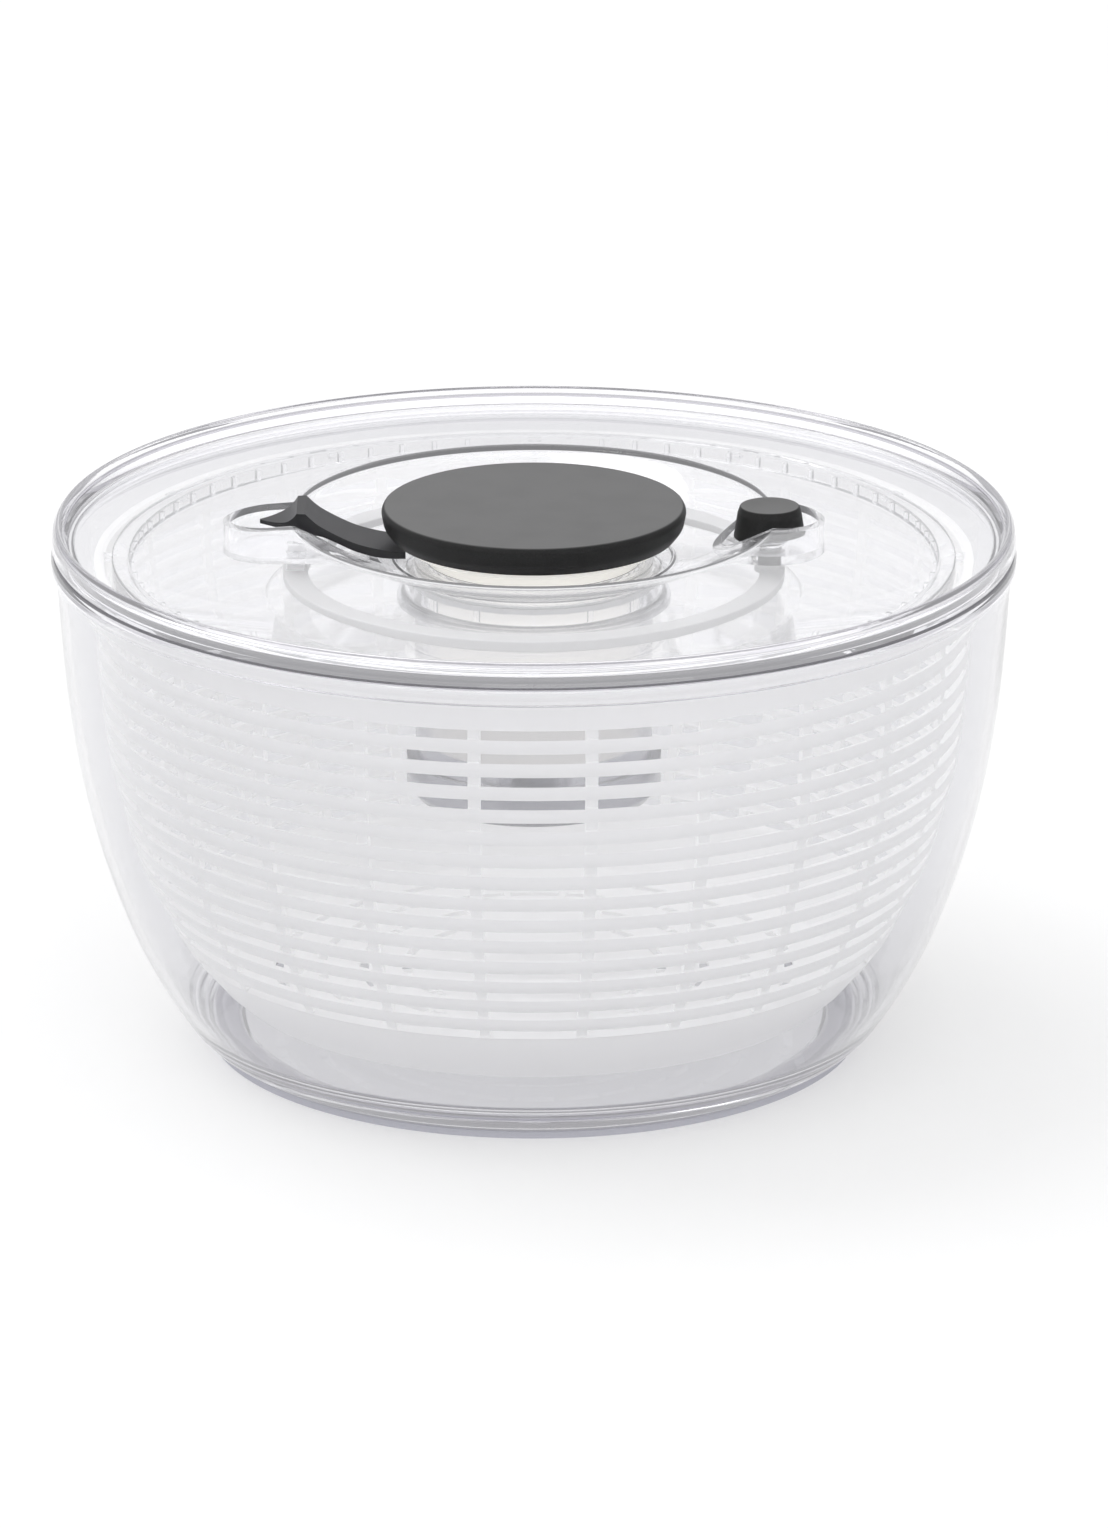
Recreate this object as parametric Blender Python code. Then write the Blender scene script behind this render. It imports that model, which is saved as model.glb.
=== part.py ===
"""Pump salad spinner: clear bowl, slotted basket, and a lid with a pump knob, a stop button and a latch.

Origin: centre of the foot, on the surface it stands on. +Z is up. +X points to the stop button.
The knob is at the bottom of its stroke, where the latch holds it for storage.
"""
import math

import bmesh
import bpy
from mathutils import Matrix, Vector

MM = 0.001

# ---- driving dimensions -------------------------------------------------------------------------
RIM_RADIUS = 134.0               # widest part, at the bowl's lip, mm
SEAM_HEIGHT = 142.3              # top of the bowl, where the lid rests, mm
FOOT_RADIUS = 91.7 * MM
FOOT_RING_HEIGHT = 2.1 * MM
GAP = 0.3 * MM                   # clearance between pieces that touch

BASKET_WALL = 1.9 * MM
BASKET_TOP = 137.5               # mm
RIB_COUNT = 24
RIB_HALF_ANGLE = math.radians(0.76)
SLOT_ROWS = 15
SLOT_HEIGHT = 2.7 * MM
SLOT_TOP, SLOT_BOTTOM = 125.8 * MM, 34.4 * MM     # centre heights of the first and last slot rows
FLOOR_SLOTS = (72.0, 60.0, 48.0, 36.0)            # middle radii of the drain slots in the floor, mm

KNOB_TOP = 153.2                 # mm
KNOB_RADIUS = 42.3               # mm
TWIST_LEAD = 80.0 * MM           # height of one full turn of the twisted rod
ROD_WIDTH, ROD_THICKNESS = 12.0 * MM, 4.5 * MM
ROD_BOTTOM, ROD_TOP = 74.4 * MM, 141.5 * MM
ROD_CLEARANCE = 0.7 * MM
TWIST_STEP = 2.4 * MM            # height of one facet of the twist

BUTTON_X = 65.4 * MM
BUTTON_WELL_RADIUS = 13.6 * MM
WELL_FLOOR = 141.0 * MM          # floor of the button well
LATCH_FLOOR = 139.9 * MM         # floor of the latch recess
WELL_FLOOR_THICKNESS = 2.2 * MM
LATCH_FLOOR_THICKNESS = 1.3 * MM
RECESS_WALL = 1.6 * MM
LATCH_X = -73.0 * MM
LATCH_RECESS_RADIUS = 11.5 * MM
LATCH_BLANK = 10.0 * MM          # half width before the latch is cut to its plan

BRAKE_HINGE_X, BRAKE_HINGE_Z = -66.0 * MM, 136.6 * MM
BRAKE_INNER, BRAKE_OUTER = 62.7 * MM, 69.6 * MM
BRAKE_BOTTOM, BRAKE_TOP = 131.6 * MM, 134.0 * MM
TAB_COUNT = 12                   # driving tabs between the inner lid and the basket's rim

LARGE_STEPS = 36                 # facets round a large turned piece
SMALL_STEPS = 24
TINY_STEPS = 16

# ---- outlines, radius and height in millimetres ------------------------------------------------
BOWL_OUTSIDE = [(133.2, SEAM_HEIGHT), (RIM_RADIUS, 141.4), (RIM_RADIUS, 138.4), (132.6, 136.6), (131.2, 115), (129.2, 95),
                (125.8, 75), (120.7, 55), (113.6, 35), (106.3, 20), (99.0, 8.6), (94.6, 4.2), (91.9, 2.4)]
BOWL_INSIDE = [(130.5, SEAM_HEIGHT), (130.0, 136.6), (128.6, 115), (126.6, 95), (123.2, 75), (118.1, 55),
               (111.1, 35), (103.9, 21), (96.8, 11), (87.0, 6.2), (4.6, 6.2), (4.6, 4.8), (0, 4.8)]
BOWL_UNDERSIDE = [(83.0, 2.4), (82.0, 3.2), (0, 3.2)]
PIVOT = [(0, 18.2), (2.2, 18.2), (3.4, 17.0), (4.2, 8.4), (8.0, 6.5), (4.3, 6.5), (4.3, 5.1), (0, 5.1)]

LID_TOP = [(133.5, SEAM_HEIGHT + 0.3), (133.8, 147.2), (131.8, 150.0), (129.9, 147.4), (129.3, 144.8), (100, 147.9),
           (67.1, 150.6), (59.5, 146.7), (47.4, 141.1), (40, 138.9), (29.6, 138.5)]
LID_UNDERSIDE = [(29.6, 136.3), (39.6, 136.3), (48.4, 139.0), (60.3, 144.4), (67.2, 148.3), (100, 145.7),
                 (127.2, 142.5), (127.4, 139.2), (129.3, 139.2), (129.4, SEAM_HEIGHT + 0.3)]

BASKET_WALL_OUTLINE = [(120.4, 133), (120.3, 110.5), (118.1, 86.8), (115.1, 73.5), (110.8, 57.4),
                       (105.7, 46.1), (98.0, 30.3), (93.6, 24.6), (89.2, 19.2)]
BASKET_RIM = [((122.0, BASKET_TOP), (118.4, BASKET_TOP)), ((122.0, 135.6), (118.4, 135.6)), ((120.4, 135.2), (118.4, 135.2))]
BASKET_CORNER = ((82.2, 16.2), (83.0, 18.2))
BASKET_CONE = [((16.0, 16.2), (17.2, 18.2)), ((5.0, 18.6), (6.2, 20.6))]
BASKET_CENTRE = ((0, 18.6), (0, 20.6))

DRIVE_PLATE = [(31.2, 134.9), (36.0, 134.9), (36.0, 127.2), (74.0, 127.2), (112.0, 135.0), (112.0, 138.3),
               (117.0, 138.3), (117.0, 133.6), (113.0, 133.6), (75.0, 125.4), (34.4, 125.4), (34.4, 133.6),
               (31.2, 133.6)]
DRIVE_DRUM = [(31.4, 125.1), (38.0, 125.1), (38.0, 123.6), (33.0, 123.6), (33.0, 72.4), (31.4, 72.4)]
END_CAP = [(35.6, 82.0), (35.6, 73.4), (32.6, 70.0), (0, 70.0), (0, 72.0), (7.8, 72.0), (7.8, 118.0),
           (10.0, 118.0), (10.0, 114.4), (12.2, 114.4), (12.2, 112.8), (10.0, 112.8), (10.0, 72.0),
           (33.4, 72.0), (33.4, 82.0)]
KNOB_CAP = [(0, KNOB_TOP), (KNOB_RADIUS - 1.4, KNOB_TOP), (KNOB_RADIUS - 0.4, 152.8), (KNOB_RADIUS, 151.0), (41.6, 147.6), (39.3, 144.8),
            (38.3, 144.9), (38.8, 150.4), (0, 150.4)]
KNOB_CORE = [(0, 150.1), (38.2, 150.1), (37.8, 145.2), (30.0, 145.2), (30.0, 147.4), (8.0, 147.4),
             (8.0, 141.8), (0, 141.8)]
PLUNGER = [(9.0, 144.6), (36.0, 144.6), (36.0, 142.4), (28.6, 142.4), (28.6, 86.0), (26.8, 86.0),
           (26.8, 142.4), (9.0, 142.4)]
GUIDE_SLEEVE = [(29.2, 136.0), (33.5, 136.0), (33.5, 135.2), (30.6, 135.2), (30.6, 124.5), (29.2, 124.5)]
BUTTON = [(0, 152.8), (7.4, 153.0), (8.4, 152.4), (10.0, 144.0), (6.6, 144.0), (6.6, 149.5), (3.2, 149.5),
          (3.2, 137.3), (0, 137.3)]
NUT_CAP = [(7.6, 129.6), (13.8, 129.6), (13.8, 114.7), (12.6, 114.7), (12.6, 128.4), (7.6, 128.4)]
SCREW = [(0, 148.6), (1.4, 148.6), (1.4, 142.1), (3.0, 142.1), (3.0, 140.6), (0, 140.6)]
SCREW_CIRCLE = 22.0 * MM

LATCH_OUTLINE = [(-76.2, 149.2), (-72.0, 149.4), (-68.6, 150.3), (-65.6, 153.2), (-63.2, 153.2), (-59.5, 149.9),
                 (-53.0, 146.2), (-47.4, 143.9), (-40.0, 142.4), (-34.0, 142.2), (-34.0, 140.3), (-42.0, 140.4),
                 (-49.0, 142.2), (-54.0, 144.6), (-58.5, 146.6), (-61.5, 147.0), (-64.0, 148.1), (-76.2, 148.1)]
LATCH_PLAN = [(-30.0, 9.0), (-64.0, 9.0), (-66.0, 8.6), (-69.5, 6.0), (-73.0, 2.9), (-76.0, 0.4)]   # half, x and y
LATCH_MOUTH_RADIUS = 36.6 * MM


# ---- helpers ------------------------------------------------------------------------------------
def clear_scene():
    for old in list(bpy.data.objects):
        bpy.data.objects.remove(old, do_unlink=True)


def material(name, colour, roughness, metallic=0.0, alpha=1.0):
    """A Principled material for one piece."""
    made = bpy.data.materials.new(name)
    made.use_nodes = True
    shader = made.node_tree.nodes["Principled BSDF"]
    shader.inputs["Base Color"].default_value = (*colour, 1.0)
    shader.inputs["Roughness"].default_value = roughness
    shader.inputs["Metallic"].default_value = metallic
    shader.inputs["Alpha"].default_value = alpha
    return made


def add_mesh(name, mesh_edit, finish=None, axis=(0, 0, 0)):
    """Turn an edit mesh into an object whose origin lies on its own axis of motion."""
    mesh_edit.normal_update()
    mesh = bpy.data.meshes.new(name)
    bmesh.ops.translate(mesh_edit, verts=mesh_edit.verts, vec=-Vector(axis))
    mesh_edit.to_mesh(mesh)
    mesh_edit.free()
    made = bpy.data.objects.new(name, mesh)
    made.location = axis
    bpy.context.collection.objects.link(made)
    if finish:
        made.data.materials.append(finish)
    mesh.shade_smooth()
    mesh.set_sharp_from_angle(angle=math.radians(35))
    return made


def lathe_mesh(outline, steps, centre=(0, 0)):
    """Spin a closed outline of radius and height, in millimetres, round the vertical axis."""
    shape = bmesh.new()
    points = [shape.verts.new((radius * MM, 0, height * MM)) for radius, height in outline]
    edges = []
    for index, point in enumerate(points):
        following = points[(index + 1) % len(points)]
        if point.co.x == 0 and following.co.x == 0:
            continue
        edges.append(shape.edges.new((point, following)))
    bmesh.ops.spin(shape, geom=points + edges, cent=(0, 0, 0), axis=(0, 0, 1), angle=math.tau,
                   steps=steps, use_merge=True)
    bmesh.ops.remove_doubles(shape, verts=shape.verts, dist=0.00001)
    bmesh.ops.recalc_face_normals(shape, faces=shape.faces)
    bmesh.ops.translate(shape, verts=shape.verts, vec=(centre[0], centre[1], 0))
    return shape


def lathe(name, outline, steps, finish=None, centre=(0, 0), axis=(0, 0, 0)):
    return add_mesh(name, lathe_mesh(outline, steps, centre), finish, axis)


def ring(name, inner, outer, bottom, top, steps, finish=None):
    return lathe(name, [(inner, top), (outer, top), (outer, bottom), (inner, bottom)], steps, finish)


def rod_shape(radius, bottom, top, centre=(0, 0), steps=TINY_STEPS):
    """A plain upright cylinder, in metres."""
    shape = bmesh.new()
    bmesh.ops.create_cone(shape, cap_ends=True, segments=steps, radius1=radius, radius2=radius,
                          depth=top - bottom)
    bmesh.ops.translate(shape, verts=shape.verts, vec=(centre[0], centre[1], (top + bottom) / 2))
    return shape


def cross_rod(radius, length, x, z, steps=TINY_STEPS):
    """A cylinder lying along Y."""
    shape = bmesh.new()
    bmesh.ops.create_cone(shape, cap_ends=True, segments=steps, radius1=radius, radius2=radius, depth=length)
    bmesh.ops.rotate(shape, verts=shape.verts, cent=(0, 0, 0), matrix=Matrix.Rotation(math.pi / 2, 3, "X"))
    bmesh.ops.translate(shape, verts=shape.verts, vec=(x, 0, z))
    return shape


def boxes(spans, turns=(0.0,)):
    """Boxes given by their low and high corners, repeated at each turn round the vertical axis."""
    shape = bmesh.new()
    for turn in turns:
        for low, high in spans:
            low, high = Vector(low), Vector(high)
            made = bmesh.ops.create_cube(shape, size=1.0)["verts"]
            bmesh.ops.scale(shape, verts=made, vec=high - low)
            bmesh.ops.translate(shape, verts=made, vec=(low + high) / 2)
            bmesh.ops.rotate(shape, verts=made, cent=(0, 0, 0), matrix=Matrix.Rotation(turn, 3, "Z"))
    return shape


def helper(name, shape):
    """A guide or cutter, which isn't part of the object."""
    made = add_mesh(name, shape)
    made.hide_render = True
    made.display_type = "WIRE"
    return made


def boolean(piece, operation, other):
    step = piece.modifiers.new(operation.lower() + "_" + other.name, "BOOLEAN")
    step.operation = operation
    step.solver = "EXACT"
    step.object = other
    return piece


def even_turns(count, first=0.0):
    return [first + index * math.tau / count for index in range(count)]


def outline_point(outline, height):
    """Radius on an outline at a height, both in metres; the outline runs from top to bottom."""
    for (radius_a, top), (radius_b, bottom) in zip(outline, outline[1:]):
        if bottom * MM <= height <= top * MM:
            share = (top * MM - height) / ((top - bottom) * MM)
            return (radius_a + (radius_b - radius_a) * share) * MM
    raise ValueError("height outside the outline")


def wall_slope(outline, height):
    """Inward normal of the outline at a height, as radius and height parts."""
    step = 1.0 * MM
    low = max(height - step, outline[-1][1] * MM)
    high = min(height + step, outline[0][1] * MM)
    run = outline_point(outline, high) - outline_point(outline, low)
    inward = Vector((-(high - low), run))
    return inward.normalized()


# ---- finishes -----------------------------------------------------------------------------------
def finishes():
    return {
        "clear": material("clear_plastic", (0.86, 0.87, 0.90), 0.06, alpha=0.3),
        "white": material("milky_plastic", (0.88, 0.89, 0.90), 0.38),
        "black": material("soft_black", (0.022, 0.022, 0.024), 0.62),
        "gloss_black": material("gloss_black", (0.02, 0.02, 0.022), 0.25),
        "grey_rubber": material("grey_rubber", (0.34, 0.34, 0.37), 0.7),
        "steel": material("spring_steel", (0.62, 0.62, 0.63), 0.3, metallic=1.0),
    }


# ---- bowl ---------------------------------------------------------------------------------------
def make_bowl(finish):
    outline = list(reversed(BOWL_INSIDE)) + BOWL_OUTSIDE + BOWL_UNDERSIDE
    lathe("bowl", outline, LARGE_STEPS, finish["clear"])
    lathe("basket_pivot", PIVOT, TINY_STEPS, finish["clear"])
    ring("foot_ring", 84.0, FOOT_RADIUS / MM, 0.0, FOOT_RING_HEIGHT / MM, LARGE_STEPS, finish["grey_rubber"])


# ---- basket -------------------------------------------------------------------------------------
def basket_stations():
    """Pairs of outer and inner points from rim to floor, each with whether a slot row starts there."""
    stations = [(outer, inner, False) for outer, inner in BASKET_RIM]
    pitch = (SLOT_TOP - SLOT_BOTTOM) / (SLOT_ROWS - 1)

    def wall_pair(height):
        radius = outline_point(BASKET_WALL_OUTLINE, height)
        inward = wall_slope(BASKET_WALL_OUTLINE, height) * BASKET_WALL
        return (radius / MM, height / MM), ((radius + inward.x) / MM, (height + inward.y) / MM)

    for row in range(SLOT_ROWS):
        centre = SLOT_TOP - row * pitch
        stations.append((*wall_pair(centre + SLOT_HEIGHT / 2), True))
        stations.append((*wall_pair(centre - SLOT_HEIGHT / 2), False))
    for _, height in BASKET_WALL_OUTLINE[-2:]:
        stations.append((*wall_pair(height * MM), False))
    stations.append((*BASKET_CORNER, False))
    half_slot = SLOT_HEIGHT / MM / 2
    for middle in FLOOR_SLOTS:
        for radius, opens in ((middle + half_slot, True), (middle - half_slot, False)):
            stations.append(((radius, BASKET_CORNER[0][1]), (radius, BASKET_CORNER[1][1]), opens))
    stations += [(outer, inner, False) for outer, inner in BASKET_CONE]
    return stations


def make_basket(finish):
    """A slotted shell, laid out as a grid: two columns for each rib, one row for each slot and hoop."""
    shape = bmesh.new()
    angles = []
    for turn in even_turns(RIB_COUNT, math.radians(-90 + 180 / RIB_COUNT)):
        angles += [turn - RIB_HALF_ANGLE, turn + RIB_HALF_ANGLE]
    columns = len(angles)

    def loop_at(point):
        radius, height = point
        return [shape.verts.new((radius * MM * math.cos(turn), radius * MM * math.sin(turn), height * MM))
                for turn in angles]

    stations = basket_stations()
    outside = [loop_at(outer) for outer, _, _ in stations]
    inside = [loop_at(inner) for _, inner, _ in stations]

    for row in range(len(stations) - 1):
        for column in range(columns):
            after = (column + 1) % columns
            outer = [outside[row][column], outside[row][after], outside[row + 1][after], outside[row + 1][column]]
            inner = [inside[row][column], inside[row][after], inside[row + 1][after], inside[row + 1][column]]
            is_slot = stations[row][2] and column % 2 == 1
            if not is_slot:
                shape.faces.new(outer)
                shape.faces.new(inner)
                continue
            for side in range(4):
                other = (side + 1) % 4
                shape.faces.new((outer[side], outer[other], inner[other], inner[side]))

    bottom, top = [shape.verts.new((0, 0, height * MM)) for _, height in BASKET_CENTRE]
    for column in range(columns):
        after = (column + 1) % columns
        shape.faces.new((outside[0][column], outside[0][after], inside[0][after], inside[0][column]))
        shape.faces.new((outside[-1][column], outside[-1][after], bottom))
        shape.faces.new((inside[-1][column], inside[-1][after], top))
    bmesh.ops.recalc_face_normals(shape, faces=shape.faces)
    basket = add_mesh("basket", shape, finish["white"])

    notch = ((116.0 * MM, -2.5 * MM, 135.3 * MM), (120.2 * MM, 2.5 * MM, 139.0 * MM))
    boolean(basket, "DIFFERENCE", helper("rim_notches", boxes([notch], even_turns(TAB_COUNT))))


# ---- outer lid ----------------------------------------------------------------------------------
def upright(outline, bottom, top):
    """An upright prism on a closed plan, in metres."""
    shape = bmesh.new()
    base = [shape.verts.new((x, y, bottom)) for x, y in outline]
    face = shape.faces.new(base)
    raised = bmesh.ops.extrude_face_region(shape, geom=[face])["geom"]
    verts = [item for item in raised if isinstance(item, bmesh.types.BMVert)]
    bmesh.ops.translate(shape, verts=verts, vec=(0, 0, top - bottom))
    bmesh.ops.recalc_face_normals(shape, faces=shape.faces)
    return shape


def slot_shape(radius, x_end, x_open, bottom, top):
    """An upright prism with one round end, for the latch recess."""
    half_turn = [math.pi / 2 + math.pi * step / TINY_STEPS for step in range(TINY_STEPS + 1)]
    outline = [(x_end + radius * math.cos(turn), radius * math.sin(turn)) for turn in half_turn]
    return upright(outline + [(x_open, -radius), (x_open, radius)], bottom, top)


def make_outer_lid(finish):
    """A turned plate with two tubs let into it: the button well and the latch recess."""
    lid = lathe("outer_lid", LID_TOP + LID_UNDERSIDE, LARGE_STEPS, finish["clear"])
    sink = 0.5
    below_surface = [(radius, height - sink) for radius, height in LID_TOP[4:]]
    limit = helper("lid_surface_limit", lathe_mesh([(129.3, 130)] + below_surface + [(29.6, 130)], LARGE_STEPS))

    well_bottom = WELL_FLOOR - WELL_FLOOR_THICKNESS
    latch_bottom = LATCH_FLOOR - LATCH_FLOOR_THICKNESS
    high = 160 * MM
    well = helper("button_tub", rod_shape(BUTTON_WELL_RADIUS + RECESS_WALL, well_bottom, high, (BUTTON_X, 0)))
    well_cut = helper("button_well", rod_shape(BUTTON_WELL_RADIUS, WELL_FLOOR, high, (BUTTON_X, 0)))
    latch_tub = helper("latch_tub", slot_shape(LATCH_RECESS_RADIUS + RECESS_WALL, LATCH_X, -43 * MM,
                                               latch_bottom, high))
    latch_cut = helper("latch_recess", slot_shape(LATCH_RECESS_RADIUS, LATCH_X, -39.5 * MM, LATCH_FLOOR, high))
    for tub in (well, latch_tub):
        boolean(tub, "INTERSECT", limit)
        boolean(lid, "UNION", tub)
    for cut in (well_cut, latch_cut):
        boolean(lid, "DIFFERENCE", cut)
    stem_hole = helper("stem_hole", rod_shape(3.9 * MM, well_bottom - 2 * MM, high, (BUTTON_X, 0)))
    boolean(lid, "DIFFERENCE", stem_hole)

    lug_foot = BRAKE_HINGE_Z - 2.1 * MM
    ears = [((BRAKE_HINGE_X - 2.6 * MM, side - 1.1 * MM, lug_foot),
             (BRAKE_HINGE_X + 2.6 * MM, side + 1.1 * MM, latch_bottom + 0.6 * MM)) for side in (-4.6 * MM, 4.6 * MM)]
    boolean(lid, "UNION", helper("hinge_lugs", boxes(ears)))
    pin_hole = helper("lug_hole", cross_rod(1.35 * MM, 20 * MM, BRAKE_HINGE_X, BRAKE_HINGE_Z))
    boolean(lid, "DIFFERENCE", pin_hole)

    lathe("guide_sleeve", GUIDE_SLEEVE, SMALL_STEPS, finish["clear"])
    ring("hub_retainer", 31.0, 33.8, 130.6, 132.2, SMALL_STEPS, finish["white"])
    ring("thrust_ring", 31.1, 33.8, 132.5, 133.3, SMALL_STEPS, finish["white"])
    add_mesh("brake_hinge_pin", cross_rod(1.0 * MM, 11.0 * MM, BRAKE_HINGE_X, BRAKE_HINGE_Z), finish["steel"])


# ---- springs ------------------------------------------------------------------------------------
def coil(name, mean_radius, wire, bottom, top, turns, steps_per_turn, finish, centre=(0, 0)):
    """A compression spring: a wire swept along a helix, with closed ends."""
    curve = bpy.data.curves.new(name, "CURVE")
    curve.dimensions = "3D"
    curve.bevel_depth = wire / 2
    curve.bevel_resolution = 0
    curve.use_fill_caps = True
    count = turns * steps_per_turn + 1
    path = curve.splines.new("POLY")
    path.points.add(count - 1)
    low, high = bottom + wire / 2, top - wire / 2
    for index in range(count):
        turn = math.tau * index / steps_per_turn
        height = low + (high - low) * index / (count - 1)
        path.points[index].co = (centre[0] + mean_radius * math.cos(turn),
                                 centre[1] + mean_radius * math.sin(turn), height, 1)
    made = bpy.data.objects.new(name, curve)
    bpy.context.collection.objects.link(made)
    curve.materials.append(finish)
    return made


# ---- knob ---------------------------------------------------------------------------------------
def twisted_bar(width, thickness, bottom, top):
    """A flat bar twisted about the vertical axis; the twist depends only on height."""
    shape = bmesh.new()
    across = 4
    section = [(-width / 2 + width * step / across, -thickness / 2) for step in range(across + 1)]
    section += [(-x, -y) for x, y in section]
    stations = max(2, round((top - bottom) / TWIST_STEP))
    loops = []
    for station in range(stations + 1):
        height = bottom + (top - bottom) * station / stations
        turn = Matrix.Rotation(math.tau * height / TWIST_LEAD, 3, "Z")
        loops.append([shape.verts.new(turn @ Vector((x, y, height))) for x, y in section])
    for lower, upper in zip(loops, loops[1:]):
        for index in range(len(section)):
            after = (index + 1) % len(section)
            shape.faces.new((lower[index], lower[after], upper[after], upper[index]))
    shape.faces.new(loops[0])
    shape.faces.new(loops[-1])
    bmesh.ops.recalc_face_normals(shape, faces=shape.faces)
    return shape


def screw_places():
    turns = even_turns(3, math.radians(90))
    return [(SCREW_CIRCLE * math.cos(turn), SCREW_CIRCLE * math.sin(turn)) for turn in turns]


def joined(shapes):
    """One edit mesh holding several separate shapes."""
    whole = bmesh.new()
    for shape in shapes:
        holder = bpy.data.meshes.new("part")
        shape.to_mesh(holder)
        shape.free()
        whole.from_mesh(holder)
        bpy.data.meshes.remove(holder)
    return whole


def make_knob(finish):
    lathe("knob_cap", KNOB_CAP, LARGE_STEPS, finish["black"])
    core = lathe("knob_core", KNOB_CORE, SMALL_STEPS, finish["white"])
    plunger = lathe("plunger", PLUNGER, SMALL_STEPS, finish["white"])
    blind_holes = joined([rod_shape(1.7 * MM, 144 * MM, 149.0 * MM, place, 10) for place in screw_places()])
    clear_holes = joined([rod_shape(1.8 * MM, 141 * MM, 146.0 * MM, place, 10) for place in screw_places()])
    boolean(core, "DIFFERENCE", helper("core_screw_holes", blind_holes))
    boolean(plunger, "DIFFERENCE", helper("plunger_screw_holes", clear_holes))
    for number, place in enumerate(screw_places(), 1):
        lathe(f"knob_screw_{number}", SCREW, 10, finish["steel"], place)

    add_mesh("twist_rod", twisted_bar(ROD_WIDTH, ROD_THICKNESS, ROD_BOTTOM, ROD_TOP), finish["steel"])
    add_mesh("rod_stop", rod_shape(7.0 * MM, 72.6 * MM, ROD_BOTTOM - GAP), finish["white"])
    coil("return_spring", 16.5 * MM, 1.3 * MM, 72.4 * MM, 142.0 * MM, 7, 12, finish["steel"])


# ---- drive train --------------------------------------------------------------------------------
def make_drive(finish):
    plate = lathe("drive_plate", DRIVE_PLATE, LARGE_STEPS, finish["clear"])
    tab = ((115.5 * MM, -2.0 * MM, 135.8 * MM), (119.6 * MM, 2.0 * MM, 137.2 * MM))
    boolean(plate, "UNION", helper("drive_tabs", boxes([tab], even_turns(TAB_COUNT))))
    lathe("drive_drum", DRIVE_DRUM, SMALL_STEPS, finish["clear"])
    lathe("drum_end_cap", END_CAP, SMALL_STEPS, finish["clear"])

    clutch = ring("clutch_ring", 7.9, 11.5, 118.3, 120.1, TINY_STEPS, finish["white"])
    tooth_gap = ((6 * MM, -0.9 * MM, 119.4 * MM), (13 * MM, 0.9 * MM, 121 * MM))
    boolean(clutch, "DIFFERENCE", helper("clutch_notches", boxes([tooth_gap], even_turns(8, 0.2))))

    nut = add_mesh("drive_nut", rod_shape(12.0 * MM, 120.5 * MM, 127.1 * MM), finish["white"])
    slot = twisted_bar(ROD_WIDTH + 2 * ROD_CLEARANCE, ROD_THICKNESS + 2 * ROD_CLEARANCE, 119 * MM, 128.6 * MM)
    boolean(nut, "DIFFERENCE", helper("nut_slot", slot))
    ring("spring_washer", 7.6, 11.8, 127.4, 128.0, TINY_STEPS, finish["steel"])
    lathe("nut_cap", NUT_CAP, TINY_STEPS, finish["white"])


# ---- stop button and brake ----------------------------------------------------------------------
def make_brake(finish):
    lathe("brake_button", BUTTON, TINY_STEPS, finish["black"], (BUTTON_X, 0), (BUTTON_X, 0, 0))
    coil("button_spring", 4.9 * MM, 0.8 * MM, 141.3 * MM, 149.2 * MM, 4, 10, finish["steel"], (BUTTON_X, 0))

    hinge = (BRAKE_HINGE_X, 0, BRAKE_HINGE_Z)
    outline = [(BRAKE_INNER / MM, BRAKE_TOP / MM), (BRAKE_OUTER / MM, BRAKE_TOP / MM),
               (BRAKE_OUTER / MM, BRAKE_BOTTOM / MM), (BRAKE_INNER / MM, BRAKE_BOTTOM / MM)]
    band = lathe("brake_ring", outline, LARGE_STEPS, finish["white"], axis=hinge)
    post = helper("brake_post", rod_shape(4.2 * MM, BRAKE_TOP - 1 * MM, 137.0 * MM, (BUTTON_X, 0)))
    ear = ((BRAKE_HINGE_X - 2.4 * MM, -3.1 * MM, BRAKE_TOP - 1 * MM),
           (BRAKE_HINGE_X + 2.4 * MM, 3.1 * MM, BRAKE_HINGE_Z + 1.6 * MM))
    boolean(band, "UNION", post)
    boolean(band, "UNION", helper("brake_ear", boxes([ear])))
    boolean(band, "DIFFERENCE", helper("ear_hole", cross_rod(1.35 * MM, 20 * MM, BRAKE_HINGE_X, BRAKE_HINGE_Z)))

    low = (63.4 * MM, -8.0 * MM, 129.9 * MM)
    high = (68.6 * MM, 8.0 * MM, BRAKE_BOTTOM - GAP)
    add_mesh("brake_pad", boxes([(low, high)]), finish["grey_rubber"], hinge)


# ---- latch --------------------------------------------------------------------------------------
def make_latch(finish):
    """A slider cut from a side outline and a plan, with a round mouth for the knob's flange."""
    shape = bmesh.new()
    side = [shape.verts.new((x * MM, -LATCH_BLANK, z * MM)) for x, z in LATCH_OUTLINE]
    face = shape.faces.new(side)
    moved = bmesh.ops.extrude_face_region(shape, geom=[face])["geom"]
    verts = [item for item in moved if isinstance(item, bmesh.types.BMVert)]
    bmesh.ops.translate(shape, verts=verts, vec=(0, 2 * LATCH_BLANK, 0))
    bmesh.ops.recalc_face_normals(shape, faces=shape.faces)
    latch = add_mesh("latch", shape, finish["gloss_black"])
    plan = [(x * MM, y * MM) for x, y in LATCH_PLAN]
    plan += [(x, -y) for x, y in reversed(plan)]
    boolean(latch, "INTERSECT", helper("latch_plan", upright(plan, 130 * MM, 160 * MM)))
    mouth = helper("latch_mouth", rod_shape(LATCH_MOUTH_RADIUS, 130 * MM, 160 * MM, steps=LARGE_STEPS))
    boolean(latch, "DIFFERENCE", mouth)


def main():
    clear_scene()
    finish = finishes()
    make_bowl(finish)
    make_basket(finish)
    make_outer_lid(finish)
    make_knob(finish)
    make_drive(finish)
    make_brake(finish)
    make_latch(finish)


main()
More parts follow.
